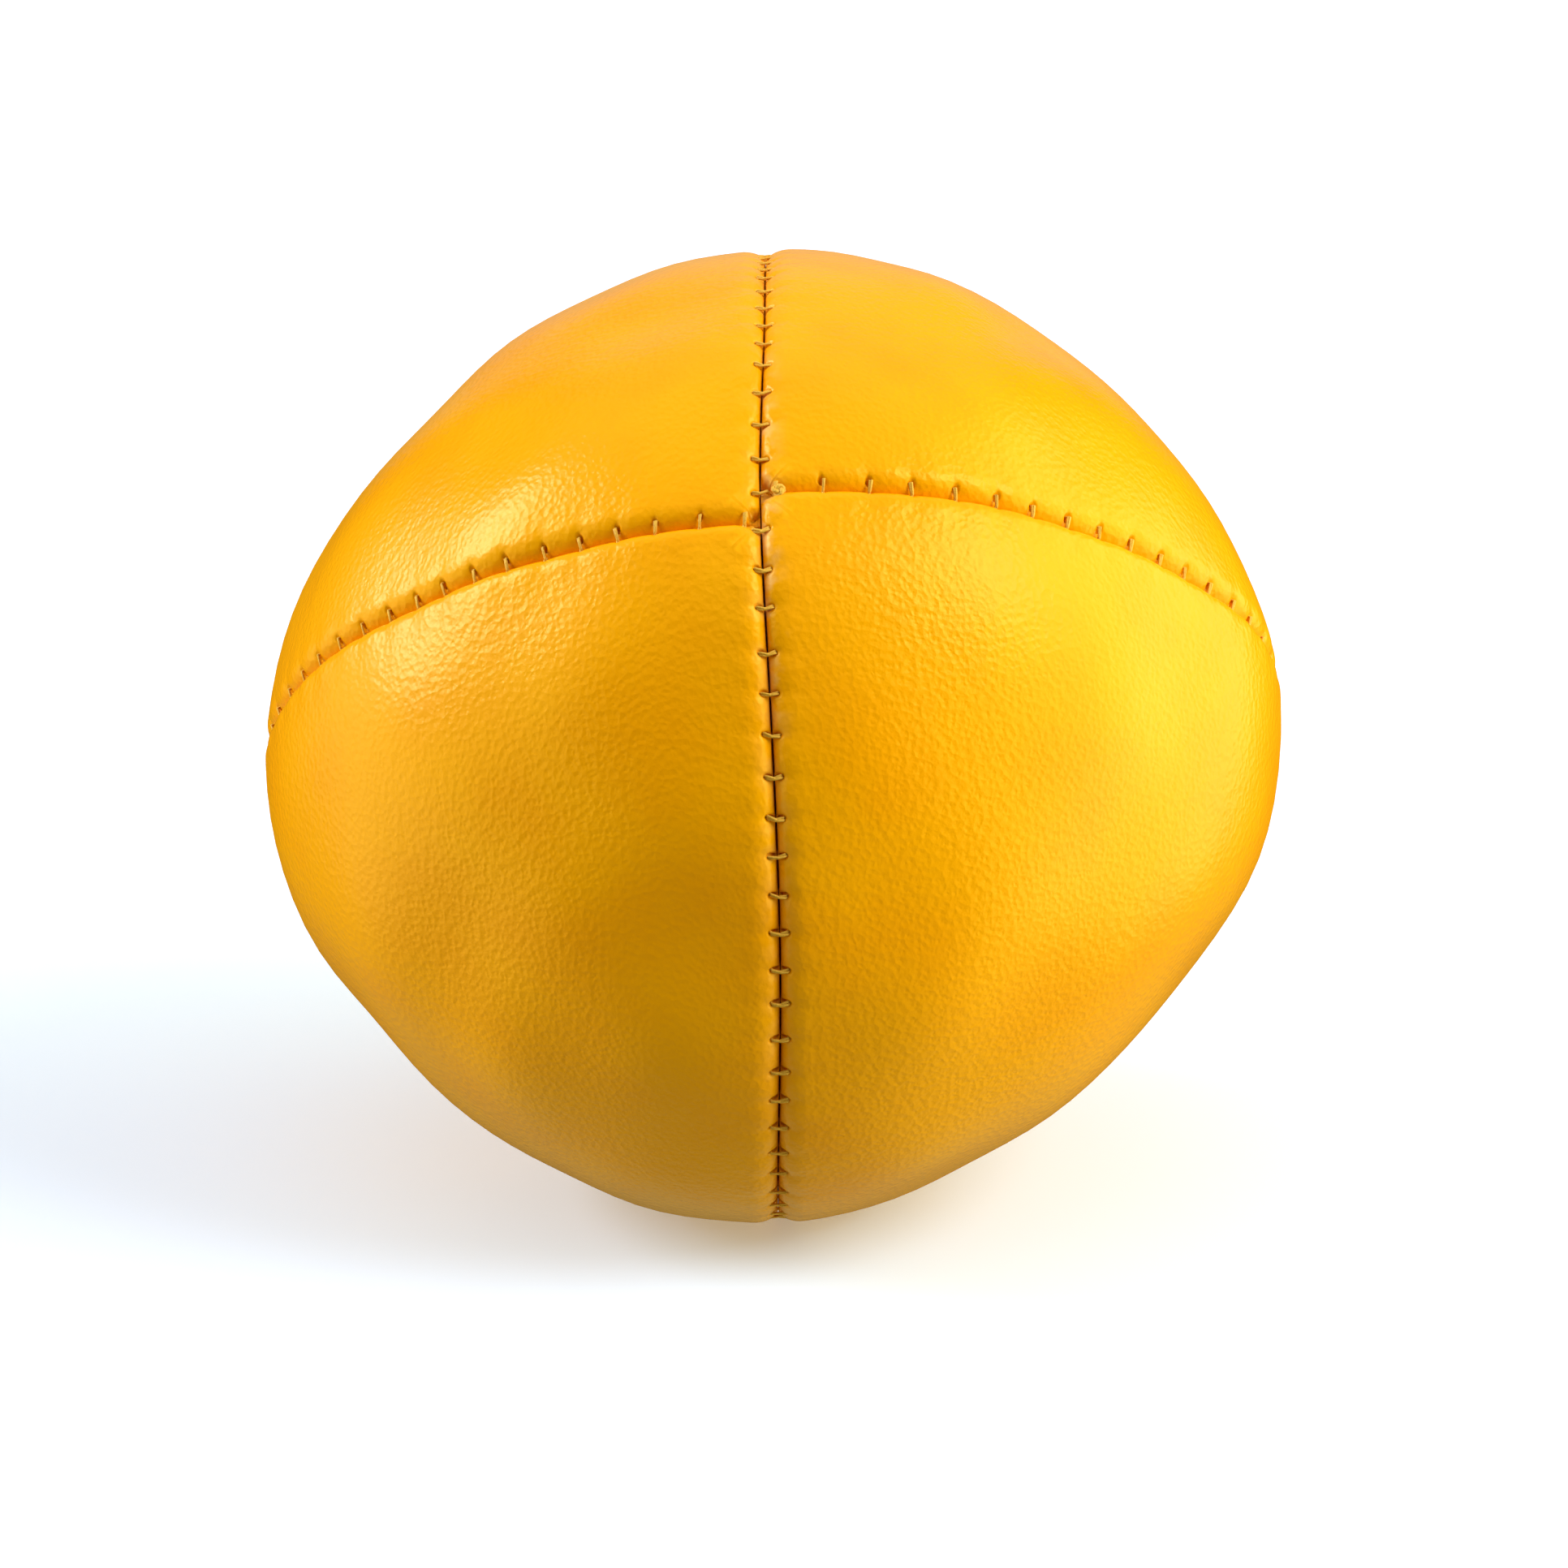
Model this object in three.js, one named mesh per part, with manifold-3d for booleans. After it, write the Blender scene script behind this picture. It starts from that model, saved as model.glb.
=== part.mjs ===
// A hand-sized weighted ball: four stitched leather-cloth panels over a cotton bag of millet.
//
// Everything is modelled in the ball's own frame, in millimetres. Its centre is the origin, z runs to the
// front pole, x to the right and y over the top. The main seam lies in the plane x = 0 all the way round,
// and one cross seam on each side joins an upper and a lower panel. The last group leans that frame over,
// as the ball rests, with the flat under it at height 0.
import * as THREE from "three";
import { mergeVertices } from "three/addons/utils/BufferGeometryUtils.js";
import Module from "manifold-3d";

// The outer shape.
const BALL_RADIUS = 32.5; // the mean, from the centre to the panels' outer face
const CORNER_RISE = 3.0; // how far the poles and the seams' quarter points stand out
const SIDE_SHIFT = 0.65; // how far the filling has moved to the upper right and the lower left
const SLUMP = 1.2; // how far the underside has sunk under the ball's weight
const FLAT_DEPTH = 1.0; // how far the leather is pressed flat where it rests

// How the ball lies, in degrees.
const POLE_LEAN = 44; // the front pole from the vertical, towards the front
const ROLL = -0.8; // about the front-to-back axis
const HALF_TURN = 1.9; // each half from the middle, about the axis across the main seam
const RIGHT_SEAM_YAW = 4.2; // the right cross seam's outer end, upwards

// The sewing.
const LEATHER = 0.9; // thickness of the leather cloth
const SEAM_GAP = 0.5; // between two panels' turned-in edges
const HEM_WIDTH = 4.0; // the seam allowance that is folded back under the panel
const THREAD = 0.3; // thread diameter
const CLEARANCE = 0.4; // between any two pieces
const HOLE_CLEARANCE = 0.3; // round the thread where it passes through another seam's edge
const OPENING = 35; // length of the main seam that is closed by hand after filling
const OPENING_MIDDLE = 130; // degrees from the front pole, over the top

// The bag inside.
const BAG_WALL = 0.4;
const BAG_THREAD = 0.3;

// Fineness of the faceted surfaces.
const PANEL_STEPS_ALONG = 24;
const PANEL_STEPS_ACROSS = 5; // between the two rolled edges
const LIP_ANGLES = [35, 90]; // points of a rolled edge, in degrees of its turn
const TIP_CROWDING = 0.4; // how much shorter the steps get towards a panel's tips
const MOST_EDGE = 0.42; // share of a panel's width that one rolled edge may take at its tips
const INNER_STEPS = [36, 22]; // of the panels' inner faces, round the main seam and across it
const BAG_STEPS = [24, 16];
const THREAD_SIDES = 6;
const THREAD_STEP = 4.5; // millimetres of thread between two sections
const BEYOND = 5; // how far a cutting solid stands out past the ball
const SAME_POINT = 1e-4; // vertices closer than this are one
const NO_AREA = 1e-9; // a face smaller than this is left out

// What follows from those.
const EVEN_SPREAD = 3 / 5; // the mean of x^4 + y^4 + z^4 over all directions
const FOLD_SPACE = THREAD + 2 * CLEARANCE; // inside the fold, where the thread runs
const HEM_DEPTH = 2 * LEATHER + FOLD_SPACE;
const LIP_RADIUS = HEM_DEPTH / 2; // of the rolled edge
const THREAD_DEPTH = LEATHER + CLEARANCE + THREAD; // just over the folded-back edge
const THREAD_SIDE = SEAM_GAP / 2 + LEATHER + FOLD_SPACE / 2; // from the seam's plane to the thread
const CROSS_THREAD_START = SEAM_GAP / 2 + LEATHER + FOLD_SPACE + CLEARANCE; // clear of the main seam's
const BAG_GAP = BAG_THREAD + 2 * CLEARANCE; // between the bag's two halves

const wasm = await Module();
wasm.setup();
const radians = THREE.MathUtils.degToRad;
const vector = (x, y, z) => new THREE.Vector3(x, y, z);
const frontPole = vector(0, 0, 1);
const backPole = vector(0, 0, -1);

const resting = new THREE.Euler(radians(POLE_LEAN), radians(ROLL), 0, "YXZ");
const up = vector(0, 0, 1).applyQuaternion(
  new THREE.Quaternion().setFromEuler(resting).invert(),
);
const down = up.clone().negate();

// The ball's radius towards a unit vector, with no flat under it.
function fullRadius(d) {
  const corners = d.x ** 4 + d.y ** 4 + d.z ** 4 - EVEN_SPREAD;
  const sunk = Math.max(0, d.dot(down)) ** 2;
  return BALL_RADIUS + CORNER_RISE * corners + 2 * SIDE_SHIFT * d.x * d.dot(up) - SLUMP * sunk;
}

const REST_HEIGHT = fullRadius(down) - FLAT_DEPTH; // of the centre above the floor

// The radius at a depth below the outer face, no lower than that depth above the flat.
function radiusAt(d, depth) {
  const toFlat = d.dot(down) > 0 ? (REST_HEIGHT - depth) / d.dot(down) : Infinity;
  return Math.min(fullRadius(d) - depth, toFlat);
}

// Solids, and what joins and cuts them.

function toSolid(geometry) {
  const bare = geometry.clone().deleteAttribute("normal").deleteAttribute("uv");
  const merged = mergeVertices(bare, SAME_POINT);
  return new wasm.Manifold(
    new wasm.Mesh({
      numProp: 3,
      vertProperties: new Float32Array(merged.attributes.position.array),
      triVerts: new Uint32Array(merged.index.array),
    }),
  );
}

function toGeometry(solid) {
  const mesh = solid.getMesh();
  const geometry = new THREE.BufferGeometry();
  geometry.setAttribute("position", new THREE.BufferAttribute(mesh.vertProperties, 3));
  geometry.setIndex(new THREE.BufferAttribute(mesh.triVerts, 1));
  geometry.computeVertexNormals();
  return geometry;
}

// What of a solid lies on a normal's side of a plane that is offset along it.
const beyondPlane = (solid, normal, offset) => solid.trimByPlane(normal.toArray(), offset);
const aboveFlat = (solid, depth) => beyondPlane(solid, up, depth - REST_HEIGHT);
const joined = (solids) => solids.reduce((all, one) => all.add(one));

// The whole ball at a depth below its outer face. Its facets run along the main seam.
function ballAt(depth, [around, along] = INNER_STEPS) {
  const geometry = new THREE.SphereGeometry(1, around, along).rotateZ(-Math.PI / 2);
  const position = geometry.attributes.position;
  for (let i = 0; i < position.count; i++) {
    const d = new THREE.Vector3().fromBufferAttribute(position, i).normalize();
    position.setXYZ(i, ...d.multiplyScalar(fullRadius(d) - depth).toArray());
  }
  return aboveFlat(toSolid(geometry), depth);
}

// One side of the ball: where its cross seam runs. tip is the seam's front end, and out its outermost point.
function half(side) {
  const turn = radians(HALF_TURN) * side;
  const yaw = side > 0 ? radians(RIGHT_SEAM_YAW) : 0;
  const tip = vector(0, Math.sin(turn), Math.cos(turn));
  const outermost = vector(side * Math.cos(yaw), Math.sin(yaw), 0);
  const upwards = tip.clone().cross(outermost).multiplyScalar(side).normalize();
  return { side, tip, upwards, out: upwards.clone().cross(tip).multiplyScalar(side) };
}

// One panel's place: the plane of each of its two seams, as a normal that points into the panel, and the
// directions from its tips' axis to the middle of each seam.
function panelPlace(sideOfBall, vertical) {
  const { side, tip, upwards, out } = sideOfBall;
  const main = vector(side, 0, 0);
  const cross = upwards.clone().multiplyScalar(vertical);
  const toMain = vector(0, tip.z, -tip.y).multiplyScalar(vertical);
  return { tip, main, cross, toMain, toCross: out, width: out.angleTo(toMain) };
}

const betweenSeams = (solid, place, inset) =>
  beyondPlane(beyondPlane(solid, place.main, inset), place.cross, inset);

// How far the outer face has rolled in, at given distances from the panel's two seams.
function rollDepth(...distances) {
  const past = distances.map((d) => Math.max(0, LIP_RADIUS - Math.max(0, d - SEAM_GAP / 2)));
  return LIP_RADIUS - Math.sqrt(Math.max(0, LIP_RADIUS ** 2 - past[0] ** 2 - past[1] ** 2));
}

// Angles across a panel, from its cross seam to its main seam: close together on the two rolled edges.
function stationsAcross(place, ringRadius) {
  const edge = LIP_ANGLES.map((a) => SEAM_GAP / 2 + LIP_RADIUS * (1 - Math.cos(radians(a))));
  const angles = edge.map((e) => Math.asin(Math.min(1, e / Math.max(ringRadius, e))));
  const squeeze = Math.min(1, (MOST_EDGE * place.width) / angles[angles.length - 1]);
  const near = [0, ...angles.map((a) => a * squeeze)];
  const last = near[near.length - 1];
  const between = [];
  for (let i = 1; i < PANEL_STEPS_ACROSS; i++) {
    between.push(last + ((place.width - 2 * last) * i) / PANEL_STEPS_ACROSS);
  }
  return [...near, ...between, ...near.map((a) => place.width - a).reverse()];
}

// The wedge from the ball's centre to one panel's outer face, with its rolled edges.
function panelWedge(place) {
  const rows = [];
  for (let j = 0; j <= PANEL_STEPS_ALONG; j++) {
    const t = j / PANEL_STEPS_ALONG;
    const polar = Math.PI * t - (TIP_CROWDING * Math.sin(2 * Math.PI * t)) / 2;
    const across = stationsAcross(place, BALL_RADIUS * Math.sin(polar));
    rows.push(
      across.map((angle) => {
        const ring = place.toCross.clone().multiplyScalar(Math.sin(place.width - angle));
        ring.addScaledVector(place.toMain, Math.sin(angle)).divideScalar(Math.sin(place.width));
        const d = place.tip.clone().multiplyScalar(Math.cos(polar));
        d.addScaledVector(ring, Math.sin(polar)).normalize();
        const r = fullRadius(d);
        const roll = rollDepth(r * Math.abs(d.dot(place.main)), r * Math.abs(d.dot(place.cross)));
        return d.multiplyScalar(r - roll);
      }),
    );
  }
  const columns = rows[0].length;
  const points = [...rows.flat(), vector(0, 0, 0)];
  const centre = points.length - 1;
  const at = (j, i) => j * columns + i;
  const faces = [];
  for (let j = 0; j < PANEL_STEPS_ALONG; j++) {
    for (let i = 0; i < columns - 1; i++) {
      faces.push([at(j, i), at(j + 1, i), at(j + 1, i + 1)]);
      faces.push([at(j, i), at(j + 1, i + 1), at(j, i + 1)]);
    }
    faces.push([at(j + 1, 0), at(j, 0), centre]);
    faces.push([at(j, columns - 1), at(j + 1, columns - 1), centre]);
  }
  const whole = faces.filter(([a, b, c]) => {
    const [p, q, r] = [points[a], points[b], points[c]];
    return q.clone().sub(p).cross(r.clone().sub(p)).length() > NO_AREA;
  });
  const inwards = place.toCross.clone().cross(place.toMain).dot(place.tip) < 0;
  const wound = inwards ? whole.map(([a, b, c]) => [a, c, b]) : whole;
  const geometry = new THREE.BufferGeometry().setFromPoints(points);
  geometry.setIndex(wound.flat());
  return toSolid(geometry);
}

// A cover panel: the skin, its edges turned in at both seams, and the allowance folded back under it.
function coverPanel(place, holes) {
  const outside = betweenSeams(aboveFlat(panelWedge(place), 0), place, SEAM_GAP / 2);
  const everything = ballAt(-BEYOND);
  const insideOf = (inset) => betweenSeams(everything, place, inset);
  const skin = outside.subtract(ballAt(LEATHER));
  const turnedIn = outside
    .subtract(ballAt(HEM_DEPTH))
    .subtract(insideOf(SEAM_GAP / 2 + LEATHER));
  const foldedBack = betweenSeams(ballAt(HEM_DEPTH - LEATHER), place, SEAM_GAP / 2)
    .subtract(ballAt(HEM_DEPTH))
    .subtract(insideOf(SEAM_GAP / 2 + HEM_WIDTH));
  return joined([skin, turnedIn, foldedBack]).subtract(holes);
}

// Threads.

// A tube through the points that pointAt gives from one angle to another.
function tube(pointAt, from, to, diameter) {
  const steps = Math.max(2, Math.ceil((Math.abs(to - from) * BALL_RADIUS) / THREAD_STEP));
  const points = [];
  for (let i = 0; i <= steps; i++) points.push(pointAt(from + ((to - from) * i) / steps));
  const section = new THREE.Shape();
  for (let i = 0; i < THREAD_SIDES; i++) {
    const a = (2 * Math.PI * i) / THREAD_SIDES;
    const corner = [(diameter / 2) * Math.cos(a), (diameter / 2) * Math.sin(a)];
    if (i === 0) section.moveTo(...corner);
    else section.lineTo(...corner);
  }
  const path = new THREE.CatmullRomCurve3(points);
  return new THREE.ExtrudeGeometry(section, { steps, extrudePath: path, bevelEnabled: false });
}

// Points inside the main seam's fold on one side, by angle from the front pole over the top.
const mainSeamThread = (side) => (angle) => {
  const d = vector(0, Math.sin(angle), Math.cos(angle));
  return d.multiplyScalar(radiusAt(d, THREAD_DEPTH)).add(vector(side * THREAD_SIDE, 0, 0));
};

// Points inside a cross seam's fold, by angle from its front end, above the seam or below it.
const crossSeamThread = (sideOfBall, vertical) => (angle) => {
  const d = sideOfBall.tip.clone().multiplyScalar(Math.cos(angle));
  d.addScaledVector(sideOfBall.out, Math.sin(angle));
  return d
    .multiplyScalar(radiusAt(d, THREAD_DEPTH))
    .addScaledVector(sideOfBall.upwards, vertical * THREAD_SIDE);
};

// Where the main seam's thread passes through the cross seams' turned-in edges, at the front and the back.
function threadHoles(sideOfBall) {
  const reach = (SEAM_GAP / 2 + LEATHER + CLEARANCE) / BALL_RADIUS;
  const front = Math.atan2(sideOfBall.tip.y, sideOfBall.tip.z);
  const path = mainSeamThread(sideOfBall.side);
  return joined(
    [front, front + Math.PI].map((middle) =>
      toSolid(tube(path, middle - reach, middle + reach, THREAD + 2 * HOLE_CLEARANCE)),
    ),
  );
}

// The bag, which lies within the turned-in hems.

const BAG_DEPTH = HEM_DEPTH + CLEARANCE; // of its outer face

const layer = (from, to) =>
  ballAt(BAG_DEPTH + from, BAG_STEPS).subtract(ballAt(BAG_DEPTH + to, BAG_STEPS));

// Half of the bag, on one side of the plane across the poles' axis.
const bagHalf = (towards) => beyondPlane(layer(0, BAG_WALL), towards, BAG_GAP / 2);

// The cord that joins the two halves, in the middle of the wall.
function bagSeam() {
  const inset = (BAG_WALL - BAG_THREAD) / 2;
  const front = beyondPlane(layer(inset, BAG_WALL - inset), frontPole, -BAG_THREAD / 2);
  return beyondPlane(front, backPole, -BAG_THREAD / 2);
}

// Materials, one function for each finish.

const leatherCloth = () =>
  new THREE.MeshStandardMaterial({ color: 0xf2ae06, roughness: 0.45, metalness: 0 });
const sewingThread = () =>
  new THREE.MeshStandardMaterial({ color: 0xd79a1c, roughness: 0.7, metalness: 0 });
const cotton = () =>
  new THREE.MeshStandardMaterial({ color: 0xe6dfcc, roughness: 0.95, metalness: 0 });
const millet = () =>
  new THREE.MeshStandardMaterial({ color: 0xd8b45e, roughness: 0.8, metalness: 0 });

function piece(name, geometry, material) {
  const mesh = new THREE.Mesh(geometry, material);
  mesh.name = name;
  return mesh;
}

// The pieces.

const ball = new THREE.Group();
const halves = { left: half(-1), right: half(1) };
const verticals = { upper: 1, lower: -1 };

const cover = new THREE.Group();
for (const [sideName, sideOfBall] of Object.entries(halves)) {
  const holes = threadHoles(sideOfBall);
  for (const [verticalName, vertical] of Object.entries(verticals)) {
    const place = panelPlace(sideOfBall, vertical);
    const geometry = toGeometry(coverPanel(place, holes));
    cover.add(piece(`cover_panel_${verticalName}_${sideName}`, geometry, leatherCloth()));
  }
}

const threads = new THREE.Group();
const threadNames = { upper: "needle_thread", lower: "bobbin_thread" };
const crossStart = Math.asin(CROSS_THREAD_START / BALL_RADIUS);
for (const [sideName, sideOfBall] of Object.entries(halves)) {
  for (const [verticalName, vertical] of Object.entries(verticals)) {
    const path = crossSeamThread(sideOfBall, vertical);
    const geometry = tube(path, crossStart, Math.PI - crossStart, THREAD);
    threads.add(piece(`${sideName}_seam_${threadNames[verticalName]}`, geometry, sewingThread()));
  }
}
const openingHalf = OPENING / 2 / BALL_RADIUS;
const openingMiddle = radians(OPENING_MIDDLE);
const endGap = (THREAD + CLEARANCE) / BALL_RADIUS;
for (const [name, side] of [
  ["needle_thread", -1],
  ["bobbin_thread", 1],
]) {
  const from = openingMiddle + openingHalf + endGap;
  const to = openingMiddle - openingHalf - endGap + 2 * Math.PI;
  const geometry = tube(mainSeamThread(side), from, to, THREAD);
  threads.add(piece(`main_seam_${name}`, geometry, sewingThread()));
}
const closing = tube(
  mainSeamThread(-1),
  openingMiddle - openingHalf,
  openingMiddle + openingHalf,
  THREAD,
);
threads.add(piece("closing_thread", closing, sewingThread()));

const inside = new THREE.Group();
inside.add(piece("inner_bag_front", toGeometry(bagHalf(frontPole)), cotton()));
inside.add(piece("inner_bag_back", toGeometry(bagHalf(backPole)), cotton()));
inside.add(piece("inner_bag_thread", toGeometry(bagSeam()), cotton()));
const filling = ballAt(BAG_DEPTH + BAG_WALL + CLEARANCE, BAG_STEPS);
inside.add(piece("millet_filling", toGeometry(filling), millet()));

ball.add(cover, threads, inside);
ball.rotation.copy(resting);
ball.position.z = REST_HEIGHT;

// Moves the resting ball so that the middle of its box's underside is the origin.
const part = new THREE.Group();
part.add(ball);
const box = new THREE.Box3().setFromObject(part, true);
const middle = box.getCenter(vector(0, 0, 0));
ball.position.x -= middle.x;
ball.position.y -= middle.y;

export default part;
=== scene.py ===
# A hand-sized weighted ball of four stitched leather-cloth panels, at rest on a pale floor.
import math

import bmesh
import bpy
import numpy as np
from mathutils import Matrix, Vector


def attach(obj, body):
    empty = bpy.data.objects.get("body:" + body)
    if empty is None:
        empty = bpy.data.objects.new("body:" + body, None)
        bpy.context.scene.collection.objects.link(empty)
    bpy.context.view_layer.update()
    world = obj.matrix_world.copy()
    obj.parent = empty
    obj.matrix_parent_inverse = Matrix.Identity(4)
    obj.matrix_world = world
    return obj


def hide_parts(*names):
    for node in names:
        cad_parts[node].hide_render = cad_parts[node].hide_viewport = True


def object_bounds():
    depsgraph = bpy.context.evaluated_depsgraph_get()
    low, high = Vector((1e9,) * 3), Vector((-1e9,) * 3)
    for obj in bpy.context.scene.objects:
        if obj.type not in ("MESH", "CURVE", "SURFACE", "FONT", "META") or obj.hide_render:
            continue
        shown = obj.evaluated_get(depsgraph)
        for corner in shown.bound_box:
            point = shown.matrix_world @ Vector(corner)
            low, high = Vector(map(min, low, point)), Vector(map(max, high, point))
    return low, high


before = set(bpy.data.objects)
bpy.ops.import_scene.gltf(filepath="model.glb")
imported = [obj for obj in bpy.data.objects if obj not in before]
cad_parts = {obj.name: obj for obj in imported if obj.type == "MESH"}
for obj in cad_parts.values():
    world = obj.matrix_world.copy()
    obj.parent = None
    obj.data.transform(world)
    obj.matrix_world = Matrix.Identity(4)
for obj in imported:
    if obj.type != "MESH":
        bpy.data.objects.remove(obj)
cadLow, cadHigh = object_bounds()
print("frame loaded:", len(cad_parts), "nodes")

mm = 0.001  # the shapes below are worked out in millimetres

ball = {
    "radius": 32.5,  # mean, to the outer face
    "cornerRise": 3.0,  # the poles and quarter points stand out this far
    "sideShift": 0.65,  # the filling leans to the upper right and lower left
    "slump": 1.2,  # the underside has sunk this far
    "flatDepth": 1.0,  # pressed flat on the floor
    "lean": 44.0,  # degrees, the front pole from the vertical
    "roll": -0.8,  # degrees, sideways
    "halfTurn": 1.9,  # the two cross seams miss each other by twice this
    "rightYaw": 4.2,  # degrees, the right cross seam's outer end sits higher
    "lumpHeight": 0.035,  # each of the waves that the filling pushes up
    "lumpCount": 46,
    "lumpWaves": (9.0, 22.0),  # their shortest and longest wavelength
    "seed": 11,
    # where the filling bulges, in the world: direction, height, sharpness
    "bulges": (((0.985, -0.06, -0.163), 0.55, 14), ((-0.82, 0.196, 0.539), 0.32, 9)),
    # where the main seam wanders sideways: degrees from the front pole over the top, shift, reach
    "seamBends": ((-52, 0.5, 30), (2, -0.4, 19)),
}


def turnAbout(axis, degrees):
    c, s = math.cos(math.radians(degrees)), math.sin(math.radians(degrees))
    if axis == "x":
        return np.array([[1, 0, 0], [0, c, -s], [0, s, c]])
    return np.array([[c, 0, s], [0, 1, 0], [-s, 0, c]])


resting = turnAbout("y", ball["roll"]) @ turnAbout("x", ball["lean"])  # ball frame to world
up = resting.T @ np.array([0.0, 0.0, 1.0])


def unit(v):
    v = np.asarray(v, float)
    return v / np.linalg.norm(v, axis=-1, keepdims=True)


def makeLumps():
    # low waves in every direction, the same each run
    rng = np.random.default_rng(ball["seed"])
    ways = unit(rng.normal(size=(ball["lumpCount"], 3)))
    lengths = rng.uniform(*ball["lumpWaves"], ball["lumpCount"])
    phases = rng.uniform(0, 2 * math.pi, ball["lumpCount"])
    return ways * (2 * math.pi * ball["radius"] / lengths)[:, None], phases


lumpWays, lumpPhases = makeLumps()


def fullRadius(d, lumpy=True):
    # from the centre to the outer face, before the seams pull it in
    upward = d @ up
    corners = (d**4).sum(axis=-1) - 3 / 5  # its mean over a sphere is 3/5
    r = ball["radius"] + ball["cornerRise"] * corners
    r = r + 2 * ball["sideShift"] * d[..., 0] * upward - ball["slump"] * np.maximum(0, -upward) ** 2
    if lumpy:
        for way, phase in zip(lumpWays, lumpPhases):
            r = r + ball["lumpHeight"] * np.sin(d @ way + phase)
        for way, height, sharpness in ball["bulges"]:
            r = r + height * np.maximum(0, d @ (resting.T @ unit(way))) ** sharpness
    return r


restHeight = float(fullRadius(-up, False)) - ball["flatDepth"]


def ballCentre():
    # the CAD box's middle is at the same place as the box of this plain shape
    a, b = np.meshgrid(np.linspace(0, math.pi, 361), np.linspace(0, 2 * math.pi, 721))
    d = np.stack([np.sin(a) * np.cos(b), np.sin(a) * np.sin(b), np.cos(a)], axis=-1)
    p = (d * fullRadius(d, False)[..., None]) @ resting.T
    middle = (p.min(axis=(0, 1)) + p.max(axis=(0, 1))) / 2
    cadMiddle = (cadLow + cadHigh) / 2 / mm
    return np.array([cadMiddle.x - middle[0], cadMiddle.y - middle[1], cadLow.z / mm + restHeight])


centre = ballCentre()


def bent(p):
    # moved with the main seam's slow wander
    d = unit(p)
    shift = 0
    for degrees, height, reach in ball["seamBends"]:
        a = math.radians(degrees)
        away = 2 - 2 * (d[..., 1] * math.sin(a) + d[..., 2] * math.cos(a))
        shift = shift + height * np.exp(-away / math.radians(reach) ** 2)
    p = p.copy()
    p[..., 0] += shift
    return p


def toWorld(p):
    return bent(p) @ resting.T + centre


sewing = {
    "leather": 0.9,  # cloth thickness
    "gap": 0.5,  # between the panels' turned-in edges, at a stitch
    "foldSpace": 1.1,  # inside the rolled edge
    "hemWidth": 4.0,
    "mainStitches": 77,  # if they went all round
    "mainFirst": 2.2,  # degrees from the front pole
    "crossPitch": 5.0,  # degrees
    "crossFirst": 1.9,  # degrees from the panels' tips
    "openingMiddle": 130.0,  # degrees round the main seam, over the top
    "opening": 35.0,  # closed by hand
    "handPitch": 3.1,
    "handClear": 0.4,  # from the last machine stitch to the opening
    "wander": 0.11,  # a stitch's mean error along the seam
    # how far the holes are from the seam's middle, and how deep the thread lies there
    "holes": {"main": 0.53, "upper": 0.78, "lower": 0.3, "closing": 0.7},
    "rungDepths": {"main": 0.4, "upper": 0.26, "lower": 0.56, "closing": 0.3},
    "seed": 5,
}
hemDepth = 2 * sewing["leather"] + sewing["foldSpace"]
lipRadius = hemDepth / 2


def seamPlaces():
    # where the stitches are: angles round the main seam, and from the front tip along each cross seam
    rng = np.random.default_rng(sewing["seed"])
    perRadian = ball["radius"]
    half = sewing["opening"] / 2 / perRadian
    middle = math.radians(sewing["openingMiddle"])
    first = math.radians(sewing["mainFirst"])
    every = first + np.arange(sewing["mainStitches"]) * 2 * math.pi / sewing["mainStitches"]
    every = every + rng.normal(0, sewing["wander"] / perRadian, every.size)
    machine = every[np.abs(every - middle) > half + sewing["handClear"] / perRadian]
    start = np.argmax(machine > middle)
    machine = np.concatenate([machine[start:], machine[:start] + 2 * math.pi])
    handCount = int(round(sewing["opening"] / sewing["handPitch"])) + 1
    hand = np.linspace(middle - half, middle + half, handCount)
    hand = hand + rng.normal(0, sewing["wander"] / perRadian, handCount)
    places = {"main": machine, "closing": hand}
    step = math.radians(sewing["crossPitch"])
    for side in ("left", "right"):
        cross = np.arange(math.radians(sewing["crossFirst"]), math.pi, step)
        error = rng.normal(0, sewing["wander"] / perRadian, cross.size)
        kept = cross < math.pi - 0.02  # none on the far tip
        places[side] = cross[kept] + error[kept]
    return places


places = seamPlaces()


def toNearest(angles, stitches, turn=2 * math.pi):
    # distance along the seam to the nearest stitch, and the local pitch, both in mm
    s = np.sort(np.mod(stitches, turn))
    s = np.concatenate([[s[-1] - turn], s, [s[0] + turn]])
    a = np.mod(angles, turn)
    k = np.clip(np.searchsorted(s, a), 1, s.size - 1)
    before, after = s[k - 1], s[k]
    near = np.minimum(a - before, after - a)
    return near * ball["radius"], (after - before) * ball["radius"]


def halfOf(side):
    # the left or right half of the cover: its panels' tip, outermost point and upward direction
    turn = math.radians(ball["halfTurn"]) * side
    yaw = math.radians(ball["rightYaw"]) if side > 0 else 0.0
    tip = np.array([0, math.sin(turn), math.cos(turn)])
    outermost = np.array([side * math.cos(yaw), math.sin(yaw), 0])
    upwards = unit(np.cross(tip, outermost) * side)
    out = np.cross(upwards, tip) * side
    return {"side": side, "turn": turn, "tip": tip, "up": upwards, "out": out}


halves = {"left": halfOf(-1), "right": halfOf(1)}

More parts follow.
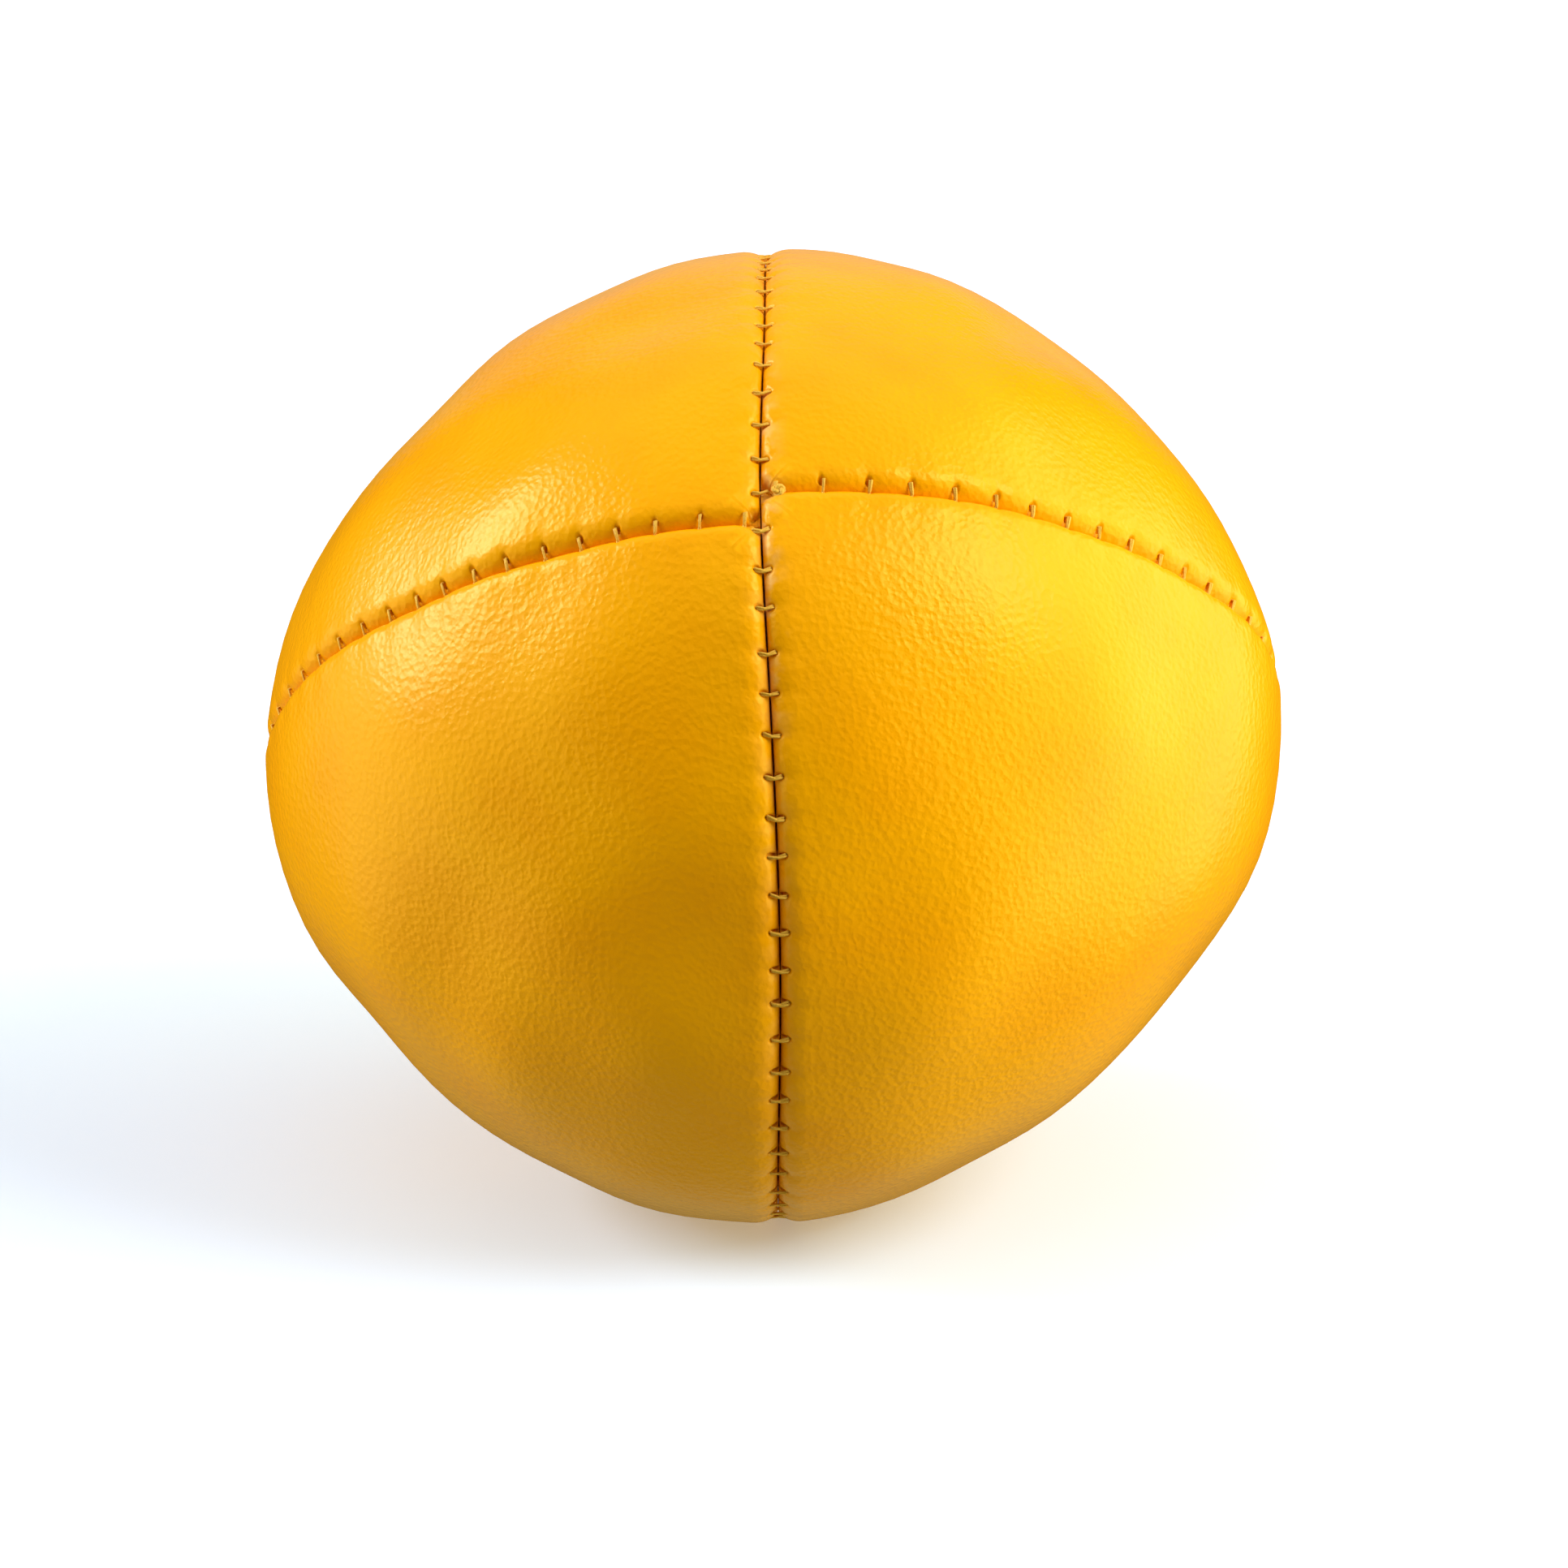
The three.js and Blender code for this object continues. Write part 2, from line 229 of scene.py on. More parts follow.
panel = {
    "rows": 900,
    "middleColumns": 26,
    # sideways from the folded edge, onto the face
    "lipColumns": (
        0.0, 0.05, 0.12, 0.2, 0.28, 0.36, 0.44, 0.52, 0.61, 0.72, 0.86, 1.04, 1.25, 1.5, 1.85, 2.3, 2.9,
    ),
    "neckColumns": (2.62, 2.25, 1.85, 1.6),  # depths down the folded edge
    "flangeColumns": (1.0, 0.55, 0.2, 0.06),  # shares of the hem's width
    "innerLip": (90, 67, 45, 22, 0),  # degrees round the inside of the fold
    "innerMiddle": 14,
    # rolled edges: how wide and how deep, by seam
    "rolls": {"main": (1.5, 0.85), "upper": (1.35, 1.2), "lower": (0.8, 0.6)},
    # half the gap that shows between two edges, at a stitch and between stitches
    "gaps": {"main": (0.1, 0.06), "upper": (0.22, 0.1), "lower": (0.1, 0.07)},
    "gapeAngle": -52.0,  # degrees from the front pole, where the main seam gapes most
    "gapeReach": 42.0,
    "gape": 0.15,
    # how far the thread pulls the leather in: beside the stitch, in the groove under it, and at its hole
    "pulls": {"main": (0.1, 0.3, 0.5), "upper": (0.1, 0.12, 0.6), "lower": (0.02, 0.05, 0.1)},
    "puff": 0.03,  # the edge swells this far between stitches
    "pinchWide": 0.45,
    "grooveWide": 0.15,
    "holeRadius": 0.17,
    "pucker": 0.02,  # ripples across the seam
    "puckerReach": 1.7,
    "closedGap": 0.02,  # half the gap deep in the seam
    "closesFrom": 0.5,  # depth where the edges begin to meet
    "closesOver": 0.45,
    "pressReach": 0.8,  # how far from the edge the cloth is drawn to it
    "rub": {"all": 0.15, "right": 0.85, "at": -2, "reach": 20, "wide": 0.7},  # worn edges, in degrees and mm
    "floorKnee": 0.25,  # softness of the flat's edge
    "fill": 0.8,
}


def lipDrop(mainSide, crossSide, crossKind):
    # how far the face has rolled in at these distances from the two edges
    (mainWide, mainDeep), (crossWide, crossDeep) = panel["rolls"]["main"], panel["rolls"][crossKind]
    a = np.clip(1 - mainSide / mainWide, 0, 1) ** 2
    b = np.clip(1 - crossSide / crossWide, 0, 1) ** 2
    deep = (mainDeep * a + crossDeep * b + 1e-9) / (a + b + 1e-9)
    return deep * (1 - np.sqrt(np.maximum(0, 1 - a - b)))


def sewnDrop(edge, near, pitch, kind):
    # what the sewing does to the face beside a seam
    pinch, groove, hole = panel["pulls"][kind]
    between = 0.5 - 0.5 * np.cos(2 * math.pi * near / pitch)
    fade = np.exp(-((np.maximum(edge, 0) / 1.0) ** 2))
    drop = pinch * np.exp(-((near / panel["pinchWide"]) ** 2)) * fade
    drop -= panel["puff"] * between * np.exp(-(((edge - 0.7) / 0.9) ** 2))
    drop -= panel["pucker"] * (2 * between - 1) * np.exp(-edge / panel["puckerReach"]) * (1 - fade)
    holeAt = sewing["holes"][kind] - sewing["gap"] / 2
    toHole = 1 / (1 + np.exp((edge - holeAt) / 0.05))
    away = np.sqrt(near**2 + (edge - holeAt) ** 2)
    drop += hole * np.exp(-((away / panel["holeRadius"]) ** 4))
    drop += groove * np.exp(-((near / panel["grooveWide"]) ** 2)) * toHole
    return drop


def panelGrid(side, vertical):
    # the planes of a panel's two seams, and the angle between them seen from the tip
    h = halves[side]
    main = np.array([h["side"], 0.0, 0.0])
    cross = h["up"] * vertical
    toMain = np.array([0, h["tip"][2], -h["tip"][1]]) * vertical
    width = math.acos(float(np.dot(h["out"], toMain)))
    return h, main, cross, toMain, width


def directions(h, toMain, width, polar, angle):
    ring = h["out"] * np.sin(width - angle)[..., None] + toMain * np.sin(angle)[..., None]
    ring = ring / math.sin(width)
    return unit(h["tip"] * np.cos(polar)[..., None] + ring * np.sin(polar)[..., None])


def nearAngles(polar, laterals, depths, width, least):
    # angles from a seam's plane that give the lateral distances, squeezed where the panel gets narrow
    reach = (ball["radius"] - np.asarray(depths)) * np.sin(polar)[:, None]
    a = np.arcsin(np.clip(np.asarray(laterals) / reach, 0, 1))
    first = np.minimum(np.arcsin(np.clip(least / reach, 0, 1)), width / 2)
    room = np.maximum(0, 0.47 * width - first)
    most = np.maximum(a.max(axis=1, keepdims=True) - first, 1e-9)
    squeeze = np.minimum(1, room / most)
    return first + np.maximum(0, a - first) * squeeze


def closeTips(sheet):
    # at a panel's two ends, the side by the cross seam meets the side by the main seam
    for row in (0, -1):
        sheet[row] = (sheet[row] + sheet[row][::-1]) / 2
    return sheet


def toSolidMesh(name, outer, inner):
    # the two sheets and the narrow strips that join them along both hems
    rows, outerColumns = outer.shape[:2]
    innerColumns = inner.shape[1]
    points = np.concatenate([outer.reshape(-1, 3), inner.reshape(-1, 3)])
    base = rows * outerColumns
    j, i = np.meshgrid(np.arange(rows - 1), np.arange(outerColumns - 1), indexing="ij")
    a = j * outerColumns + i
    faces = [np.stack([a, a + outerColumns, a + outerColumns + 1, a + 1], -1).reshape(-1, 4)]
    j, i = np.meshgrid(np.arange(rows - 1), np.arange(innerColumns - 1), indexing="ij")
    a = base + j * innerColumns + i
    faces.append(np.stack([a, a + 1, a + innerColumns + 1, a + innerColumns], -1).reshape(-1, 4))
    j = np.arange(rows - 1)
    a, b = j * outerColumns, base + j * innerColumns
    faces.append(np.stack([a, b, b + innerColumns, a + outerColumns], -1))
    a, b = a + outerColumns - 1, b + innerColumns - 1
    faces.append(np.stack([a, a + outerColumns, b + innerColumns, b], -1))
    faces = np.concatenate(faces)
    mesh = bpy.data.meshes.new(name)
    mesh.vertices.add(len(points))
    mesh.vertices.foreach_set("co", (points * mm).ravel())
    mesh.loops.add(faces.size)
    mesh.loops.foreach_set("vertex_index", faces.ravel())
    mesh.polygons.add(len(faces))
    mesh.polygons.foreach_set("loop_start", np.arange(len(faces)) * 4)
    mesh.polygons.foreach_set("loop_total", np.full(len(faces), 4))
    mesh.update()
    tips = [0, rows - 1]
    ends = [r * outerColumns + c for r in tips for c in range(outerColumns)]
    ends += [base + r * innerColumns + c for r in tips for c in range(innerColumns)]
    return mesh, ends


def joinTips(mesh, ends):
    # merges what meets at the ends, turns the faces out and counts open edges
    bm = bmesh.new()
    bm.from_mesh(mesh)
    bm.verts.ensure_lookup_table()
    bmesh.ops.remove_doubles(bm, verts=[bm.verts[k] for k in ends], dist=0.004 * mm)
    if bm.calc_volume(signed=True) < 0:
        bmesh.ops.reverse_faces(bm, faces=bm.faces)
    openEdges = sum(1 for e in bm.edges if not e.is_manifold)
    bm.to_mesh(mesh)
    bm.free()
    mesh.polygons.foreach_set("use_smooth", np.ones(len(mesh.polygons), bool))
    return openEdges


def settle(p, depths):
    # to the world, and flat where the ball rests
    p = toWorld(p)
    ground = cadLow.z / mm + depths
    knee = panel["floorKnee"]
    z = p[..., 2] - ground
    pressed = knee * np.log1p(np.exp(np.clip(z / knee, -40, 40)))
    p[..., 2] = ground + np.where(z > 6 * knee, z, pressed)
    return p


def acrossFace(near, width, count):
    # the columns beside one seam, those between, and the columns beside the other seam
    t = np.linspace(0, 1, count + 2)[1:-1]
    last = near[:, -1:]
    return np.concatenate([near, last + (width - 2 * last) * t, width - near[:, ::-1]], axis=1)


def pressTogether(p, normal, away, seamNear, kind, depth, around):
    # the edges press together, most between stitches and deep in the seam
    edge = sewing["gap"] / 2
    nearest, pitch = seamNear
    between = 1 - (1 - np.clip(2 * nearest / pitch, 0, 1))[:, None] ** 2
    atStitch, atMiddle = panel["gaps"][kind]
    wanted = atStitch + (atMiddle - atStitch) * between
    if kind == "main":
        off = (np.degrees(around) + 180) % 360 - 180 - panel["gapeAngle"]
        wanted = wanted + panel["gape"] * np.exp(-((off / panel["gapeReach"]) ** 2))[:, None]
    deeper = np.clip((depth - panel["closesFrom"]) / panel["closesOver"], 0, 1)
    wanted = wanted + (panel["closedGap"] - wanted) * deeper
    shift = (edge - wanted) * np.exp(-((np.maximum(away, 0) / panel["pressReach"]) ** 2))
    return p - normal * np.minimum(shift, np.maximum(edge + away - panel["closedGap"], 0))[..., None]


def outerSheet(side, vertical):
    # beside the cross seam, across the face, and beside the main seam
    h, main, cross, toMain, width = panelGrid(side, vertical)
    kind = "upper" if vertical > 0 else "lower"
    lip = np.array(panel["lipColumns"])
    edge = sewing["gap"] / 2
    below = [(edge + share * sewing["hemWidth"], hemDepth) for share in panel["flangeColumns"]]
    below += [(edge + 0.03, hemDepth - 0.08)]  # the hem's turn
    below += [(edge, depth) for depth in panel["neckColumns"]]
    tipAngle = math.asin(edge / math.sin(width / 2) / ball["radius"]) * 1.02
    polar = np.linspace(tipAngle, math.pi - tipAngle, panel["rows"])
    laterals = np.array([b[0] for b in below] + list(edge + lip))
    depths = np.array([b[1] for b in below] + list(lipDrop(lip, lip + 99, kind)))
    around = h["turn"] + vertical * polar
    crossNear = toNearest(polar, places[side])
    mainNear = toNearest(around, np.concatenate([places["main"], places["closing"]]))
    angle = acrossFace(nearAngles(polar, laterals, depths, width, edge), width, panel["middleColumns"])
    d = directions(h, toMain, width, np.broadcast_to(polar[:, None], angle.shape), angle)
    r = fullRadius(d)
    mainEdge = r * np.abs(d @ main) - edge
    crossEdge = r * np.abs(d @ cross) - edge
    sewn = sewnDrop(crossEdge, crossNear[0][:, None], crossNear[1][:, None], kind)
    sewn += sewnDrop(mainEdge, mainNear[0][:, None], mainNear[1][:, None], "main")
    turnedIn = len(below)
    face = np.ones(angle.shape[1], bool)
    face[:turnedIn] = face[-turnedIn:] = False
    hidden = np.zeros(angle.shape[1])
    hidden[:turnedIn] = depths[:turnedIn]
    hidden[-turnedIn:] = depths[:turnedIn][::-1]
    depth = np.where(face, lipDrop(mainEdge, crossEdge, kind) + sewn, hidden)
    p = d * (r - depth)[..., None]
    p = pressTogether(p, cross, crossEdge, crossNear, kind, depth, around)
    p = pressTogether(p, main, mainEdge, mainNear, "main", depth, around)
    # how worn each point is: 1 on the very edge of a lip
    rub = panel["rub"]
    worn = rub["all"]
    if side == "right":
        worn = worn + rub["right"] * np.exp(-((np.degrees(around) - rub["at"]) / rub["reach"]) ** 4)[:, None]
    worn = worn * np.where(face, np.exp(-((np.clip(mainEdge, 0, 9) / rub["wide"]) ** 2)), 0)
    return closeTips(settle(p, np.where(face, 0, hidden))), worn


def innerSheet(side, vertical):
    # a cloth's thickness behind the outer one
    h, _, _, toMain, width = panelGrid(side, vertical)
    thickness = sewing["leather"]
    edge = sewing["gap"] / 2
    fold = lipRadius - thickness
    hemSide = hemDepth - thickness
    columns = [(edge + share * sewing["hemWidth"], hemSide) for share in panel["flangeColumns"][:2]]
    columns += [(edge + thickness, hemSide)]
    for degrees in panel["innerLip"]:
        a = math.radians(degrees)
        columns.append((edge + lipRadius - fold * math.sin(a), lipRadius - fold * math.cos(a)))
    tipAngle = math.asin((edge + thickness) / math.sin(width / 2) / (ball["radius"] - thickness)) * 1.03
    polar = np.linspace(tipAngle, math.pi - tipAngle, panel["rows"])
    laterals, depths = np.array(columns).T
    near = nearAngles(polar, laterals, depths, width, edge + thickness)
    angle = acrossFace(near, width, panel["innerMiddle"])
    d = directions(h, toMain, width, np.broadcast_to(polar[:, None], angle.shape), angle)
    depth = np.concatenate([depths, np.full(panel["innerMiddle"], thickness), depths[::-1]])
    return closeTips(settle(d * (fullRadius(d) - depth)[..., None], depth))


def makePanel(side, vertical, name):
    outer, worn = outerSheet(side, vertical)
    inner = innerSheet(side, vertical)
    mesh, ends = toSolidMesh(name, outer, inner)
    lipShare = np.concatenate([worn.ravel(), np.zeros(inner.shape[0] * inner.shape[1])])
    mesh.attributes.new("lip", "FLOAT", "POINT").data.foreach_set("value", lipShare.astype(np.float32))
    openEdges = joinTips(mesh, ends)
    piece = bpy.data.objects.new(name, mesh)
    bpy.context.scene.collection.objects.link(piece)
    return piece, openEdges


def nodeTree(material):
    material.use_nodes = True
    tree = material.node_tree
    tree.nodes.clear()
    return tree


def add(tree, kind, at=(0, 0), **values):
    # a node, with its settings and the numbers on its sockets: From_Min is the socket From Min
    node = tree.nodes.new(kind)
    node.location = at
    for key, value in values.items():
        if hasattr(node, key):
            setattr(node, key, value)
        else:
            node.inputs[key.replace("_", " ")].default_value = value
    return node


leather = {
    "colour": (0.90, 0.38, 0.0002, 1),
    "deep": (0.84, 0.29, 0.0002, 1),  # in slow, darker patches
    "patches": 120,  # to a metre
    "worn": (0.98, 0.66, 0.36, 1),  # on rubbed edges
    "wornMost": 0.45,
    "roughness": 0.26,
    "gloss": 0.34,
    "glossTint": (1.0, 0.82, 0.18, 1),
    "grain": 2250.0,  # cells to a metre
    "grainHeight": 0.042 * mm,
    "grainSmooth": 0.45,
    "warp": 0.35 * mm,  # how far the cells are pushed about
    "fine": 0.35,  # share of the finer roughness
}


def leatherMaterial():
    m = bpy.data.materials.new("goldenLeatherCloth")
    tree = nodeTree(m)
    link = tree.links.new
    out = add(tree, "ShaderNodeOutputMaterial", (900, 0))
    skin = add(
        tree,
        "ShaderNodeBsdfPrincipled",
        (600, 0),
        Roughness=leather["roughness"],
        Specular_IOR_Level=leather["gloss"],
        Specular_Tint=leather["glossTint"],
    )
    where = add(tree, "ShaderNodeTexCoord", (-1400, 0)).outputs["Object"]
    # the pebbled grain: soft cells pushed about by a noise, with a finer roughness on them
    warp = add(tree, "ShaderNodeTexNoise", (-1200, -300), Scale=1300, Detail=2)
    push = add(tree, "ShaderNodeVectorMath", (-1000, -300), operation="SCALE", Scale=leather["warp"])
    moved = add(tree, "ShaderNodeVectorMath", (-800, -200), operation="ADD")
    cells = add(tree, "ShaderNodeTexVoronoi", (-600, -200), feature="SMOOTH_F1")
    cells.inputs["Scale"].default_value = leather["grain"]
    cells.inputs["Smoothness"].default_value = leather["grainSmooth"]
    fine = add(tree, "ShaderNodeTexNoise", (-600, -500), Scale=5200, Detail=3)
    height = add(tree, "ShaderNodeMath", (-350, -250), operation="MULTIPLY_ADD")
    height.inputs[1].default_value = leather["fine"]
    bump = add(tree, "ShaderNodeBump", (300, -300), Strength=1.0, Distance=leather["grainHeight"])
    link(where, warp.inputs["Vector"])
    link(warp.outputs["Color"], push.inputs[0])
    link(where, moved.inputs[0])
    link(push.outputs["Vector"], moved.inputs[1])
    link(moved.outputs["Vector"], cells.inputs["Vector"])
    link(where, fine.inputs["Vector"])
    link(fine.outputs["Fac"], height.inputs[0])
    link(cells.outputs["Distance"], height.inputs[2])
    link(height.outputs["Value"], bump.inputs["Height"])
    link(bump.outputs["Normal"], skin.inputs["Normal"])
    # darker patches
    patches = add(tree, "ShaderNodeTexNoise", (-600, 200), Scale=leather["patches"], Detail=4)
    share = add(tree, "ShaderNodeMapRange", (-300, 200), From_Min=0.4, From_Max=0.75, To_Max=0.5)
    tone = add(tree, "ShaderNodeMix", (0, 200), data_type="RGBA")
    tone.inputs["A"].default_value = leather["colour"]
    tone.inputs["B"].default_value = leather["deep"]
    link(where, patches.inputs["Vector"])
    link(patches.outputs["Fac"], share.inputs["Value"])
    link(share.outputs["Result"], tone.inputs["Factor"])
    # the rubbed edges, paler in bits
    lipAt = add(tree, "ShaderNodeAttribute", (-600, 500), attribute_name="lip")
    rubbed = add(tree, "ShaderNodeTexNoise", (-600, 700), Scale=700, Detail=3)
    bits = add(tree, "ShaderNodeMapRange", (-300, 700), From_Min=0.45, From_Max=0.62)
    wornShare = add(tree, "ShaderNodeMath", (-50, 600), operation="MULTIPLY")
    less = add(tree, "ShaderNodeMath", (120, 600), operation="MULTIPLY")
    less.inputs[1].default_value = leather["wornMost"]
    finish = add(tree, "ShaderNodeMix", (300, 300), data_type="RGBA")
    finish.inputs["B"].default_value = leather["worn"]
    link(where, rubbed.inputs["Vector"])
    link(rubbed.outputs["Fac"], bits.inputs["Value"])
    link(bits.outputs["Result"], wornShare.inputs[0])
    link(lipAt.outputs["Fac"], wornShare.inputs[1])
    link(wornShare.outputs["Value"], less.inputs[0])
    link(less.outputs["Value"], finish.inputs["Factor"])
    link(tone.outputs["Result"], finish.inputs["A"])
    link(finish.outputs["Result"], skin.inputs["Base Color"])
    link(skin.outputs["BSDF"], out.inputs["Surface"])
    return m


thread = {
    "radius": 0.085,
    "past": 0.11,  # a loop passes the seam's middle by this much, through the other thread's loop
    "spread": {"main": 0.17, "upper": 0.12, "lower": 0.12, "closing": 0.17},  # between a loop's two strands
    "drift": 0.14,  # the middle of a main-seam stitch sags along the seam
    "tuck": 0.55,  # sideways to the run, under the leather
    "runRadius": 0.15,  # the thread inside the fold: its size, depth and distance from the seam
    "runDepth": 1.6,
    "runSide": 1.7,
    "runStep": 0.02,  # radians between its points
    "runEnd": 0.085,  # radians it stops short of the tips
    "uneven": 0.1,
    "handUneven": 0.22,
    "tilts": {"machine": 0.6, "hand": 0.2},
    "knots": {"machine": 0.36, "hand": 0.5},
    "colour": (0.58, 0.27, 0.01, 1),
    "fibre": (0.90, 0.56, 0.08, 1),
}


def threadMaterial():
    m = bpy.data.materials.new("goldenThread")
    tree = nodeTree(m)
    link = tree.links.new
    out = add(tree, "ShaderNodeOutputMaterial", (500, 0))
    yarn = add(tree, "ShaderNodeBsdfPrincipled", (200, 0), Roughness=0.55, Specular_IOR_Level=0.25)
    where = add(tree, "ShaderNodeTexCoord", (-700, 0))
    fibres = add(tree, "ShaderNodeTexNoise", (-450, 0), Scale=9000, Detail=2)
    tone = add(tree, "ShaderNodeMix", (-100, 150), data_type="RGBA")
    tone.inputs["A"].default_value = thread["colour"]
    tone.inputs["B"].default_value = thread["fibre"]
    bump = add(tree, "ShaderNodeBump", (-100, -200), Distance=0.03 * mm)
    link(where.outputs["Object"], fibres.inputs["Vector"])
    link(fibres.outputs["Fac"], tone.inputs["Factor"])
    link(tone.outputs["Result"], yarn.inputs["Base Color"])
    link(fibres.outputs["Fac"], bump.inputs["Height"])
    link(bump.outputs["Normal"], yarn.inputs["Normal"])
    link(yarn.outputs["BSDF"], out.inputs["Surface"])
    return m


leatherCloth = leatherMaterial()
goldenThread = threadMaterial()

panelNames = {
    "coverPanelUpperLeft": ("left", 1, "cover_panel_upper_left"),
    "coverPanelLowerLeft": ("left", -1, "cover_panel_lower_left"),
    "coverPanelUpperRight": ("right", 1, "cover_panel_upper_right"),
    "coverPanelLowerRight": ("right", -1, "cover_panel_lower_right"),
}
gaps = 0
for name, (side, vertical, node) in panelNames.items():
    piece, openEdges = makePanel(side, vertical, name)
    gaps += openEdges
    piece.data.materials.append(leatherCloth)
    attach(piece, "root")
    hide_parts(node)
print("cover made:", gaps, "open edges")


def makeStitcher():
    # run: the edges of the mesh become the thread in the fold; its loose points each get a loop
    tree = bpy.data.node_groups.new("stitches", "GeometryNodeTree")
    face = tree.interface
    face.new_socket("Geometry", in_out="INPUT", socket_type="NodeSocketGeometry")
    for label, value in (
        ("Thread Radius", thread["radius"] * mm),
        ("Run Radius", thread["runRadius"] * mm),
        ("Reach", 0.62 * mm),
        ("Past Middle", thread["past"] * mm),
        ("Spread", 0.2 * mm),
        ("Tilt", 0.6),
        ("Sag", 0.05 * mm),
        ("Drift", 0.0),
        ("Tuck", thread["tuck"] * mm),
        ("Dive", 1.2 * mm),
        ("Uneven", thread["uneven"]),
    ):
        face.new_socket(label, in_out="INPUT", socket_type="NodeSocketFloat").default_value = value
    face.new_socket("Seed", in_out="INPUT", socket_type="NodeSocketInt").default_value = 3
    face.new_socket("Material", in_out="INPUT", socket_type="NodeSocketMaterial")
    face.new_socket("Geometry", in_out="OUTPUT", socket_type="NodeSocketGeometry")
    link = tree.links.new
    given = add(tree, "NodeGroupInput", (-1600, 0))
    out = add(tree, "NodeGroupOutput", (1400, 0))

    def maths(operation, a, b=None, c=None):
        node = add(tree, "ShaderNodeMath", operation=operation)
        for k, value in enumerate((a, b, c)):
            if isinstance(value, (int, float)):
                node.inputs[k].default_value = value
            elif value is not None:
                link(value, node.inputs[k])
        return node.outputs[0]

    def mapped(value, low, high, first, last):
        node = add(tree, "ShaderNodeMapRange")
        link(value, node.inputs["Value"])
        for label, number in (("From Min", low), ("From Max", high), ("To Min", first), ("To Max", last)):
            node.inputs[label].default_value = number
        return node.outputs["Result"]

    # one loop, along x from its own side to just past the middle and back
    line = add(tree, "GeometryNodeCurvePrimitiveLine")
    points = add(tree, "GeometryNodeResampleCurve")
    points.inputs["Count"].default_value = 12
    link(line.outputs["Curve"], points.inputs["Curve"])
    share = add(tree, "GeometryNodeSplineParameter").outputs["Factor"]
    turn = maths("MULTIPLY", share, math.pi)
    swing = maths("SINE", turn)
    inside = mapped(swing, 0, 0.5, 1, 0)
    along = mapped(swing, 0.5, 1, 0, 1)
    span = maths("ADD", given.outputs["Reach"], given.outputs["Past Middle"])
    x = maths("MULTIPLY_ADD", along, span, maths("MULTIPLY", given.outputs["Reach"], -1))
    x = maths("SUBTRACT", x, maths("MULTIPLY", inside, given.outputs["Tuck"]))
    half = maths("MULTIPLY", given.outputs["Spread"], 0.5)
    y = maths("MULTIPLY", maths("COSINE", turn), half)
    z = maths("MULTIPLY", y, given.outputs["Tilt"])
    y = maths("ADD", y, maths("MULTIPLY", along, given.outputs["Drift"]))
    z = maths("SUBTRACT", z, maths("MULTIPLY", inside, given.outputs["Dive"]))
    z = maths("SUBTRACT", z, maths("MULTIPLY", along, given.outputs["Sag"]))
    place = add(tree, "ShaderNodeCombineXYZ")
    for k, value in enumerate((x, y, z)):
        link(value, place.inputs[k])
    loop = add(tree, "GeometryNodeSetPosition")
    link(points.outputs["Curve"], loop.inputs["Geometry"])
    link(place.outputs["Vector"], loop.inputs["Position"])

    def tubed(curve, radius, sides):
        ring = add(tree, "GeometryNodeCurvePrimitiveCircle")
        ring.inputs["Resolution"].default_value = sides
        link(radius, ring.inputs["Radius"])
        tube = add(tree, "GeometryNodeCurveToMesh")
        tube.inputs["Fill Caps"].default_value = True
        link(curve, tube.inputs["Curve"])
        link(ring.outputs["Curve"], tube.inputs["Profile Curve"])
        return tube.outputs["Mesh"]

    loopTube = tubed(loop.outputs["Geometry"], given.outputs["Thread Radius"], 5)

    def attribute(name, kind="FLOAT_VECTOR"):
        node = add(tree, "GeometryNodeInputNamedAttribute", data_type=kind)
        node.inputs["Name"].default_value = name
        return node.outputs["Attribute"]

    stitches = add(tree, "GeometryNodeMeshToPoints")
    link(given.outputs["Geometry"], stitches.inputs["Mesh"])
    link(attribute("isStitch", "BOOLEAN"), stitches.inputs["Selection"])
    facing = add(tree, "FunctionNodeAxesToRotation", primary_axis="Z", secondary_axis="X")
    link(attribute("outward"), facing.inputs["Primary Axis"])
    link(attribute("across"), facing.inputs["Secondary Axis"])
    placed = add(tree, "GeometryNodeInstanceOnPoints")
    link(stitches.outputs["Points"], placed.inputs["Points"])
    link(loopTube, placed.inputs["Instance"])
    link(facing.outputs["Rotation"], placed.inputs["Rotation"])

    def scatter(low, high, extraSeed):
        node = add(tree, "FunctionNodeRandomValue", data_type="FLOAT_VECTOR")
        for k, value in ((0, low), (1, high)):
            socket = [q for q in node.inputs if q.enabled][k]
            socket.default_value = value
        link(maths("ADD", given.outputs["Seed"], extraSeed), node.inputs["Seed"])
        scaled = add(tree, "ShaderNodeVectorMath", operation="SCALE")
        link(node.outputs[0], scaled.inputs[0])
        link(given.outputs["Uneven"], scaled.inputs["Scale"])
        return scaled.outputs["Vector"]

